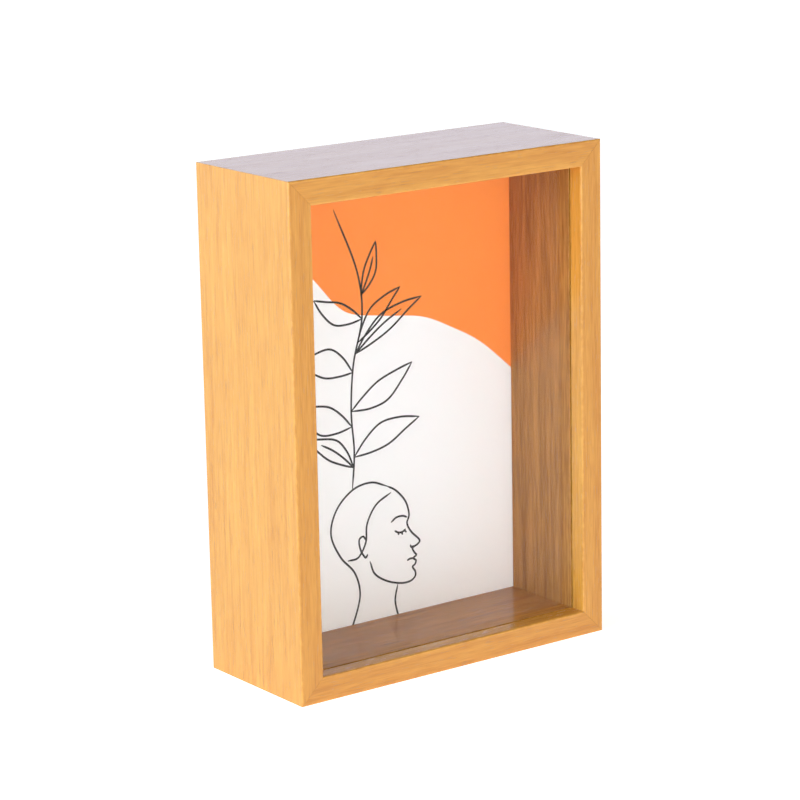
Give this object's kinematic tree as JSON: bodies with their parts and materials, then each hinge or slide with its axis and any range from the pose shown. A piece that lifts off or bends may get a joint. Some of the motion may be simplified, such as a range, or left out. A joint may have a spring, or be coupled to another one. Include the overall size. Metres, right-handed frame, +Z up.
{
  "type": "deep box picture frame",
  "caption": "Deep mitred wood-grain box frame with glazing behind a narrow front lip, set-back print, bendable rear tabs and D-ring hangers.",
  "frame": {"origin": "middle of the bottom face, on the surface the frame stands on", "axes": "+Z up, +X to the right seen from the front, +Y from the front face to the rear rim"},
  "size_m": [0.1424, 0.0596, 0.1935],
  "materials": {
    "moulding_foil": "light wood-grain foil on MDF, satin",
    "liner_foil": "light wood-grain foil, satin",
    "nail_steel": "bright drawn steel",
    "glazing": "clear thin float glass",
    "print_paper": "matt art paper, printed",
    "board_mdf": "raw MDF",
    "tab_steel": "soft zinc-plated strip",
    "hanger_steel": "nickel plated",
    "rivet_steel": "nickel plated"
  },
  "bodies": {
    "frame": {"moulding_left": "moulding_foil", "moulding_right": "moulding_foil", "moulding_top": "moulding_foil", "moulding_bottom": "moulding_foil", "corner_nails": "nail_steel", "glazing": "glazing", "liner_left": "liner_foil", "liner_right": "liner_foil", "liner_top": "liner_foil", "liner_bottom": "liner_foil", "tab_shanks": "tab_steel"},
    "board": {"back_board": "board_mdf", "art_print": "print_paper", "portrait_hanger_strap": "hanger_steel", "portrait_hanger_rivets": "rivet_steel", "landscape_hanger_strap": "hanger_steel", "landscape_hanger_rivets": "rivet_steel"},
    "portrait_ring": {"portrait_hanger_ring": "hanger_steel"},
    "landscape_ring": {"landscape_hanger_ring": "hanger_steel"},
    "tab_left_lower": {"tab_left_lower": "tab_steel"},
    "tab_left_upper": {"tab_left_upper": "tab_steel"},
    "tab_right_lower": {"tab_right_lower": "tab_steel"},
    "tab_right_upper": {"tab_right_upper": "tab_steel"},
    "tab_top_left": {"tab_top_left": "tab_steel"},
    "tab_top_right": {"tab_top_right": "tab_steel"},
    "tab_bottom_left": {"tab_bottom_left": "tab_steel"},
    "tab_bottom_right": {"tab_bottom_right": "tab_steel"}
  },
  "joints": [
    {"name": "board_slide", "type": "slide", "parent": "frame", "child": "board", "axis": [0, 1, 0], "range_m": [0, 0.04], "deforming": ["tab_left_lower", "tab_left_upper", "tab_right_lower", "tab_right_upper", "tab_top_left", "tab_top_right", "tab_bottom_left", "tab_bottom_right"]},
    {"name": "portrait_ring_swing", "type": "hinge", "parent": "board", "child": "portrait_ring", "pos_m": [0, 0.01915, 0.1695], "axis": [1, 0, 0], "range_deg": [0, 176]},
    {"name": "landscape_ring_swing", "type": "hinge", "parent": "board", "child": "landscape_ring", "pos_m": [-0.04725, 0.01915, 0.09675], "axis": [0, 0, 1], "range_deg": [0, 176]},
    {"name": "tab_left_lower_bend", "type": "hinge", "parent": "frame", "child": "tab_left_lower", "pos_m": [-0.06435, 0.018, 0.04175], "axis": [0, 0, 1], "range_deg": [0, 90]},
    {"name": "tab_left_upper_bend", "type": "hinge", "parent": "frame", "child": "tab_left_upper", "pos_m": [-0.06435, 0.018, 0.15175], "axis": [0, 0, 1], "range_deg": [0, 90]},
    {"name": "tab_right_lower_bend", "type": "hinge", "parent": "frame", "child": "tab_right_lower", "pos_m": [0.06435, 0.018, 0.04175], "axis": [0, 0, -1], "range_deg": [0, 90]},
    {"name": "tab_right_upper_bend", "type": "hinge", "parent": "frame", "child": "tab_right_upper", "pos_m": [0.06435, 0.018, 0.15175], "axis": [0, 0, -1], "range_deg": [0, 90]},
    {"name": "tab_top_left_bend", "type": "hinge", "parent": "frame", "child": "tab_top_left", "pos_m": [-0.038, 0.018, 0.1866], "axis": [1, 0, 0], "range_deg": [0, 90]},
    {"name": "tab_top_right_bend", "type": "hinge", "parent": "frame", "child": "tab_top_right", "pos_m": [0.038, 0.018, 0.1866], "axis": [1, 0, 0], "range_deg": [0, 90]},
    {"name": "tab_bottom_left_bend", "type": "hinge", "parent": "frame", "child": "tab_bottom_left", "pos_m": [-0.038, 0.018, 0.0069], "axis": [-1, 0, 0], "range_deg": [0, 90]},
    {"name": "tab_bottom_right_bend", "type": "hinge", "parent": "frame", "child": "tab_bottom_right", "pos_m": [0.038, 0.018, 0.0069], "axis": [-1, 0, 0], "range_deg": [0, 90]}
  ]
}
